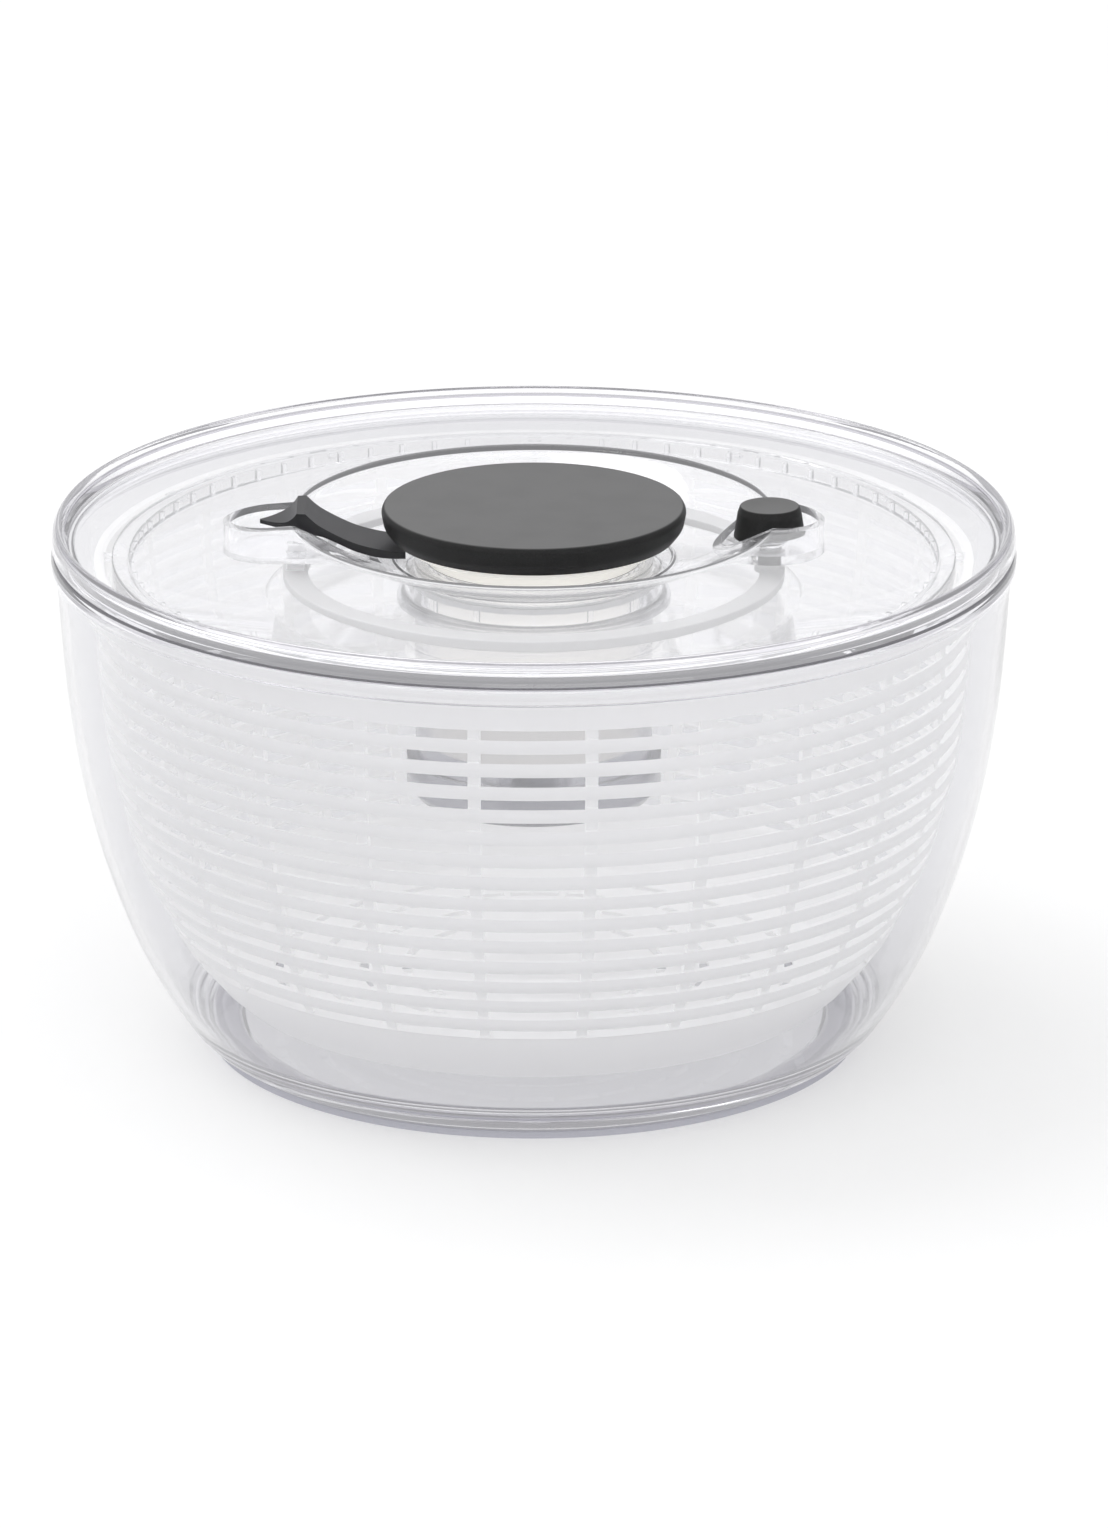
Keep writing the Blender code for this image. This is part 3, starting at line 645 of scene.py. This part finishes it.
swollen = slots.node("GeometryNodeSetPosition", {}, {"Geometry": opened, "Offset": outward})
slots.ends(swollen, basket_white)

basket = slots.grow(
    "slotted_basket",
    {"Rib count": float(RIBS), "Rib share": RIB_SHARE, "Pitch": SLOT_PITCH * MM,
     "Slot height": SLOT_TALL * MM,
     "Top edge": SLOT_TOP_EDGE * MM, "Rows": float(SLOT_COUNT), "Swell": HOOP_SWELL * MM,
     "Ledge": HOOP_LEDGE * MM,
     "First drain": FLOOR_SLOTS[-1] * MM, "Drain pitch": (FLOOR_SLOTS[0] - FLOOR_SLOTS[1]) * MM},
    basket_skin(), 40,
    [("SOLIDIFY", {"thickness": BASKET_WALL * MM, "offset": -1.0})])
placed(basket, "basket", ["basket"])

# %% [markdown]
# ## Outer lid
# The lid is a clear plate with a rounded rim, domed up to a crease and then dished down to the knob. Two
# tubs are let into it: a round well for the stop button and a long recess for the latch. The plate is spun,
# then the tubs are joined and hollowed with Booleans, as a mould-maker would cut them.

# %% Lid plate
LID_THICK = 2.2
WELL_FLOOR, WELL_BOTTOM = 141.0, 138.8
LATCH_FLOOR, LATCH_BOTTOM = 139.9, 138.6
WELL_X, WELL_RADIUS = 65.4, 13.6
LATCH_X, LATCH_RADIUS = -73.0, 11.5
TUB_WALL = 1.6
HINGE_X, HINGE_Z = -66.0, 136.6

dome = smooth_through([(129.0, 144.9), (115.0, 146.6), (100.0, 147.9), (83.0, 149.4), (68.4, 150.5)], 6)
dish = smooth_through([(68.4, 150.5), (67.1, 150.45), (65.9, 149.95), (63.5, 148.8), (59.5, 146.7),
                       (53.5, 143.4), (47.4, 141.0), (42.0, 139.3)], 4)
lid_rim = rounded([(129.4, 142.5, 0), (130.6, 142.5, 0.2), (130.9, 147.2, 0.5), (132.1, 147.4, 0.5),
                   (132.3, 142.5, 0.2), (133.3, 142.5, 0.5), (133.9, 144.2, 1.0),
                   (133.4, 147.9, 2.2), (131.8, 150.2, 1.5),
                   (130.1, 147.6, 1.0), (129.3, 144.8, 0.4), (127, 145.0, 0)])[1:-1]
collar = rounded([(42.0, 139.3, 0), (39.6, 138.5, 0.4), (38.8, 138.9, 0.4), (38.2, 138.4, 0.4),
                  (29.7, 138.4, 0.5), (29.7, 136.3, 0.5), (40.0, 136.3, 1.0), (44.0, 137.4, 0)])[1:-1]
under = list(reversed([point - Vector((0, LID_THICK + 0.05)) for point in dome[1:] + dish[1:-1]]))
skirt = rounded([(125.0, 142.9, 0), (127.3, 142.5, 0.3), (127.5, 139.3, 0.5), (129.2, 139.3, 0.5),
                 (129.4, 142.5, 0), (131, 142.5, 0)])[1:-1]
lid_outline = lid_rim + dome[1:] + dish[1:] + collar + under + skirt


def upright(outline, bottom, top):
    """A prism on a closed plan, in millimetres."""
    shape = bmesh.new()
    base = shape.faces.new([shape.verts.new((x * MM, y * MM, bottom * MM)) for x, y in outline])
    raised = bmesh.ops.extrude_face_region(shape, geom=[base])["geom"]
    bmesh.ops.translate(shape, verts=[item for item in raised if isinstance(item, bmesh.types.BMVert)],
                        vec=(0, 0, (top - bottom) * MM))
    bmesh.ops.recalc_face_normals(shape, faces=shape.faces)
    return shape


def round_plan(x, radius, steps=72):
    return [(x + radius * math.cos(math.tau * step / steps), radius * math.sin(math.tau * step / steps))
            for step in range(steps)]


def long_plan(x_end, radius, x_open, steps=36):
    arc = [math.pi / 2 + math.pi * step / steps for step in range(steps + 1)]
    return [(x_end + radius * math.cos(turn), radius * math.sin(turn)) for turn in arc] \
        + [(x_open, -radius), (x_open, radius)]


def block_plan(x, y, half_x, half_y):
    return [(x - half_x, y - half_y), (x + half_x, y - half_y),
            (x + half_x, y + half_y), (x - half_x, y + half_y)]


def carve(piece, steps):
    """Apply Booleans in order and drop the helpers."""
    helpers = []
    for operation, shape in steps:
        ready = isinstance(shape, bpy.types.Object)
        helper = shape if ready else link_mesh("helper", shape, piece.data.materials[0])
        helpers.append(helper)
        step = piece.modifiers.new(operation.lower(), "BOOLEAN")
        step.operation, step.solver, step.object = operation, "EXACT", helper
    bpy.context.view_layer.update()
    mesh = bpy.data.meshes.new_from_object(piece.evaluated_get(bpy.context.evaluated_depsgraph_get()))
    piece.modifiers.clear()
    piece.data = mesh
    for helper in helpers:
        bpy.data.objects.remove(helper)
    mesh.shade_smooth()
    mesh.set_sharp_from_angle(angle=math.radians(35))
    return piece


def tub(plan, bottom):
    """The outside of a tub, trimmed just below the lid's top surface."""
    surface = [(point.x, point.y - 0.5) for point in dome + dish[1:]]
    limit = spun([(129.0, 130.0)] + surface + [(42.0, 130.0)], 96)
    return carve(link_mesh("tub", upright(plan, bottom, 160), lid_clear), [("INTERSECT", limit)])


lid = link_mesh("clear_lid", spun(lid_outline), lid_clear)
carve(lid, [
    ("UNION", tub(round_plan(WELL_X, WELL_RADIUS + TUB_WALL), WELL_BOTTOM)),
    ("UNION", tub(long_plan(LATCH_X, LATCH_RADIUS + TUB_WALL, -43.0), LATCH_BOTTOM)),
    ("DIFFERENCE", upright(round_plan(WELL_X, WELL_RADIUS), WELL_FLOOR, 160)),
    ("DIFFERENCE", upright(long_plan(LATCH_X, LATCH_RADIUS, -39.8), LATCH_FLOOR, 160)),
    ("DIFFERENCE", upright(round_plan(WELL_X, 3.9, 32), 130, 160)),
    ("UNION", upright(block_plan(HINGE_X, -4.6, 2.6, 1.1), HINGE_Z - 2.1, LATCH_BOTTOM + 0.6)),
    ("UNION", upright(block_plan(HINGE_X, 4.6, 2.6, 1.1), HINGE_Z - 2.1, LATCH_BOTTOM + 0.6)),
])
placed(lid, "lid", ["outer_lid"])

# %% [markdown]
# ## Knob
# The knob is a broad black disc. Its flat top meets the side in a tight round edge, and the side leans in
# towards the bottom. Below it sits the cream plunger, whose long skirt slides in the lid's sleeve.

# %% Knob and plunger
cap_outline = rounded([(0, 153.2, 0), (41.6, 153.2, 0.8), (42.35, 151.6, 2.0), (41.6, 147.6, 4.0),
                       (39.4, 144.8, 0.6), (38.2, 144.8, 0.3), (38.7, 150.4, 0.5), (0, 150.4, 0)])
turned("pump_knob", cap_outline, knob_black, "knob", ["knob_cap"])
plunger_outline = rounded([(9.0, 144.6, 0.3), (35.6, 144.6, 0.4), (36.0, 142.4, 0.6), (28.6, 142.4, 0.8),
                           (28.6, 86.0, 0.5), (26.8, 86.0, 0.5), (26.8, 142.4, 0.5), (9.0, 142.4, 0.3)])
turned("sliding_plunger", plunger_outline, plunger_white, "knob", ["plunger"], 128)

# %% [markdown]
# ## Stop button
# A small cone with a dished top, so that a finger finds it. It is hollow below for its spring.

# %% Button
button_top = [Vector((7.6 * part / 8, 152.3 + 0.75 * (part / 8) ** 2)) for part in range(8)]
button_side = rounded([(7.0, 152.9, 0), (8.2, 153.1, 0.5), (8.9, 151.0, 1.5), (10.0, 144.0, 0.4),
                       (6.6, 144.0, 0.3), (6.6, 149.5, 0.5), (3.2, 149.5, 0.3), (3.2, 137.3, 0.3),
                       (0, 137.3, 0), (0, 150, 0)])[1:-1]
turned("stop_button", button_top + button_side, knob_black, "button", ["brake_button"], 96, (WELL_X * MM, 0))

# %% [markdown]
# ## Latch
# The latch is a bent strap: a thumb scoop that curls up to a ridge, then a long slope that dips to the
# knob. It is drawn once from the side, cut to its plan, and its edges are rounded by a Bevel.

# %% Latch
LATCH_BLANK = 10.0
scoop = smooth_through([(-76.2, 149.0), (-72.0, 149.3), (-68.6, 150.2), (-66.6, 151.8), (-65.6, 153.2)], 5)
slope = smooth_through([(-63.2, 153.2), (-59.5, 149.9), (-53.0, 146.3), (-47.4, 144.1), (-40.0, 142.5),
                        (-34.0, 142.2)], 5)
belly = smooth_through([(-34.0, 140.3), (-42.0, 140.5), (-49.0, 142.3), (-54.0, 144.6), (-58.5, 146.6),
                        (-61.5, 147.0)], 4)
tongue = smooth_through([(-61.5, 147.0), (-64.0, 148.2), (-68.0, 148.0), (-76.2, 148.0)], 3)
latch_side = scoop + slope + belly[:-1] + tongue


def latch_plan():
    """A straight strap that narrows to a point under the thumb."""
    edge = smooth_through([(-64.0, 9.0), (-66.0, 8.6), (-69.5, 6.0), (-73.0, 2.9), (-76.0, 0.4)], 4)
    side = [(-30.0, 9.0)] + [(point.x, point.y) for point in edge]
    return side + [(x, -y) for x, y in reversed(side)]


def latch_shape():
    shape = bmesh.new()
    base = shape.faces.new([shape.verts.new((point.x * MM, -LATCH_BLANK * MM, point.y * MM))
                            for point in latch_side])
    raised = bmesh.ops.extrude_face_region(shape, geom=[base])["geom"]
    bmesh.ops.translate(shape, verts=[item for item in raised if isinstance(item, bmesh.types.BMVert)],
                        vec=(0, 2 * LATCH_BLANK * MM, 0))
    bmesh.ops.recalc_face_normals(shape, faces=shape.faces)
    return shape


latch = link_mesh("sliding_latch", latch_shape(), latch_black)
carve(latch, [("INTERSECT", upright(latch_plan(), 130, 160)),
              ("DIFFERENCE", upright(round_plan(0, 36.6, 180), 130, 160))])
latch_edge = latch.modifiers.new("edge", "BEVEL")
latch_edge.width, latch_edge.segments, latch_edge.limit_method = 0.35 * MM, 3, "ANGLE"
latch_edge.angle_limit = math.radians(50)
placed(latch, "latch", ["latch"])

# %% [markdown]
# ## Brake ring
# A milky band round the sleeve hangs from a pin on one side, and the button pushes it down on the other.

# %% Brake
band = link_mesh("brake_band", spun(rounded([(62.7, 134.0, 0.4), (69.6, 134.0, 0.4), (69.6, 131.6, 0.4),
                                             (62.7, 131.6, 0.4)])), fitting_white)
carve(band, [("UNION", upright(round_plan(WELL_X, 4.2, 40), 133.0, 137.0)),
             ("UNION", upright(block_plan(HINGE_X, 0, 2.4, 3.1), 133.0, HINGE_Z + 1.6))])
placed(band, "brake", ["brake_ring"])

# %% [markdown]
# ## Sleeve, inner lid and drum
# Under the lid hangs the drive: a clear inner lid with a ring of fine teeth, and a drum that reaches down
# into the basket. The sleeve that guides the knob has upright ribs.

# %% Turned drive pieces
turned("guide_tube", rounded([(29.2, 136.0, 0.3), (33.5, 136.0, 0.3), (33.5, 135.2, 0.2), (30.6, 135.2, 0.2),
                              (30.6, 124.5, 0.4), (29.2, 124.5, 0.4)]),
       lid_clear, "lid", ["guide_sleeve"], 128)
plate_outline = rounded([(31.2, 134.9, 0.3), (36.0, 134.9, 0.8), (36.0, 127.2, 1.2), (74.0, 127.2, 3.0),
                         (112.0, 135.0, 1.0), (112.0, 138.3, 0.5), (117.0, 138.3, 0.5), (117.0, 133.6, 0.5),
                         (113.0, 133.6, 1.0),
                         (75.0, 125.4, 3.0), (34.4, 125.4, 0.5), (34.4, 133.6, 0.5), (31.2, 133.6, 0.3)])
turned("inner_lid", plate_outline, lid_clear, "drive", ["drive_plate"])
placed(ring_of_blocks("grip_teeth", 72, 111.5, (1.4, 1.3, 2.8), 136.7, lid_clear), "drive", ["drive_plate"])
placed(ring_of_blocks("drive_tabs", 12, 117.5, (4.1, 4.0, 1.4), 136.5, lid_clear), "drive", ["drive_plate"])
placed(ring_of_blocks("sleeve_ribs", 12, 30.7, (0.5, 1.6, 9.4), 129.8, lid_clear), "lid", ["guide_sleeve"])
turned("drum_wall", rounded([(31.4, 125.1, 0.3), (38.0, 125.1, 0.3), (38.0, 123.6, 0.3), (33.0, 123.6, 0.8),
                             (33.0, 72.4, 0.3), (31.4, 72.4, 0.3)]), drum_clear, "drive", ["drive_drum"], 128)
turned("drum_cap", rounded([(35.6, 82.0, 0.4), (35.6, 73.4, 2.0), (32.6, 70.0, 2.0), (0, 70.0, 0), (0, 72.0, 0),
                            (7.8, 72.0, 0.5), (7.8, 118.0, 0.3), (10.0, 118.0, 0.3), (10.0, 114.4, 0.3),
                            (12.2, 114.4, 0.3), (12.2, 112.8, 0.3), (10.0, 112.8, 0.3), (10.0, 72.0, 0.8),
                            (33.4, 72.0, 0.5), (33.4, 82.0, 0.4)]),
       drum_clear, "drive", ["drum_end_cap"], 128)

# %% [markdown]
# ## Springs
# A spring is a round wire swept along a helix, with both sizes as inputs of one small tree.

# %% Springs
coil = Recipe("coil_spring")
coil_turns, coil_radius = coil.size("Turns"), coil.size("Radius")
coil_height, wire_radius = coil.size("Height"), coil.size("Wire radius")
coil_base = coil.size("Base", "Vector")
helix = coil.node("GeometryNodeCurveSpiral", {}, {"Resolution": 28, "Rotations": coil_turns,
                                                  "Start Radius": coil_radius, "End Radius": coil_radius,
                                                  "Height": coil_height})
wire_round = coil.node("GeometryNodeCurvePrimitiveCircle", {}, {"Resolution": 10, "Radius": wire_radius})
wire_mesh = coil.node("GeometryNodeCurveToMesh", {},
                      {"Curve": helix, "Profile Curve": wire_round, "Fill Caps": True})
placed_wire = coil.node("GeometryNodeTransform", {}, {"Geometry": wire_mesh, "Translation": coil_base})
coil.ends(placed_wire, spring_steel)


def spring(name, turns, radius, wire, low, high, centre):
    return coil.grow(name, {"Turns": float(turns), "Radius": radius * MM, "Height": (high - low - wire) * MM,
                            "Wire radius": wire / 2 * MM,
                            "Base": (centre * MM, 0.0, (low + wire / 2) * MM)})


lift_spring = spring("lift_spring", 7, 16.5, 1.3, 72.6, 141.8, 0.0)
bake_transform(lift_spring)
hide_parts("return_spring")
stop_spring = spring("stop_spring", 4, 4.9, 0.8, 141.4, 149.2, WELL_X)
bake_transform(stop_spring)
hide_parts("button_spring")

# %% [markdown]
# ## Finishes of the small inner pieces
# The rest of the frame has the right shape already and only takes a finish.

# %% Dress the frame
dressing = {
    fitting_white: ["hub_retainer", "thrust_ring", "knob_core", "rod_stop", "drive_nut", "clutch_ring",
                    "nut_cap"],
    spring_steel: ["brake_hinge_pin", "knob_screw_1", "knob_screw_2", "knob_screw_3", "twist_rod",
                   "spring_washer"],
    pad_grey: ["brake_pad"],
}
for finish, names in dressing.items():
    for name in names:
        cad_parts[name].data.materials.clear()
        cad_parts[name].data.materials.append(finish)
print("dressed", sum(len(names) for names in dressing.values()), "frame pieces")

# %% [markdown]
# ## Floor and light
# The ground is a plain white floor. Clear plastic needs both light and dark around it: the sky is white
# overhead and greyer towards the horizon, which the rims pick up as grey lines, and it is a little dimmer on
# the right.

# %% Floor
floor_shape = bmesh.new()
bmesh.ops.create_grid(floor_shape, x_segments=1, y_segments=1, size=6.0)
floor_finish = Finish("floor_white")
floor_mottle = floor_finish.noise(3.0, 2.0)
floor_white = floor_finish.done(floor_finish.surface(
    Base_Color=floor_finish.blend(floor_mottle, (0.65, 0.65, 0.65), (0.67, 0.67, 0.67)), Roughness=0.8,
    Specular_IOR_Level=0.0, Emission_Color=(1.0, 1.0, 1.0, 1.0), Emission_Strength=0.36))
floor = link_mesh("floor", floor_shape, floor_white)

# %% Sky
world = bpy.data.worlds.new("studio")
bpy.context.scene.world = world
world.use_nodes = True
sky = Board(world.node_tree)
sky.tree.nodes.clear()
look_x, _, height = sky.parts(sky.node("ShaderNodeTexCoord", output="Generated"))
to_right = look_x.maths("MAXIMUM", look_x, 0.0)
sky_colour = sky.node("ShaderNodeValToRGB", {"stops": [(0.0, (0.60, 0.60, 0.62)), (0.12, (0.74, 0.74, 0.76)),
                                                       (0.40, (0.88, 0.88, 0.89)), (1.0, (1.0, 1.0, 1.0))]},
                      {0: height})
background = sky.node("ShaderNodeBackground", {}, {"Color": sky_colour, "Strength": 0.92 - 0.16 * to_right})
sky.plug(sky.tree.nodes.new("ShaderNodeOutputWorld").inputs["Surface"], background)


# %% Lamps
def soft_box(name, place, aim, width, depth, power):
    data = bpy.data.lights.new(name, "AREA")
    data.shape, data.size, data.size_y, data.energy = "RECTANGLE", width, depth, power
    lamp = bpy.data.objects.new(name, data)
    lamp.location = place
    lamp.rotation_euler = (Vector(aim) - Vector(place)).to_track_quat("-Z", "Y").to_euler()
    bpy.context.scene.collection.objects.link(lamp)
    return lamp


soft_box("key", (-1.1, 0.7, 2.3), (0, 0, 0.05), 1.6, 1.6, 16.0)
fill = soft_box("fill", (0.6, -2.6, 1.6), (0, 0, 0.08), 2.6, 1.6, 14.0)
fill.visible_glossy = False
bpy.context.scene.view_settings.view_transform = "Standard"
bpy.context.scene.cycles.max_bounces = 32
bpy.context.scene.cycles.transmission_bounces = 32
bpy.context.scene.cycles.transparent_max_bounces = 32
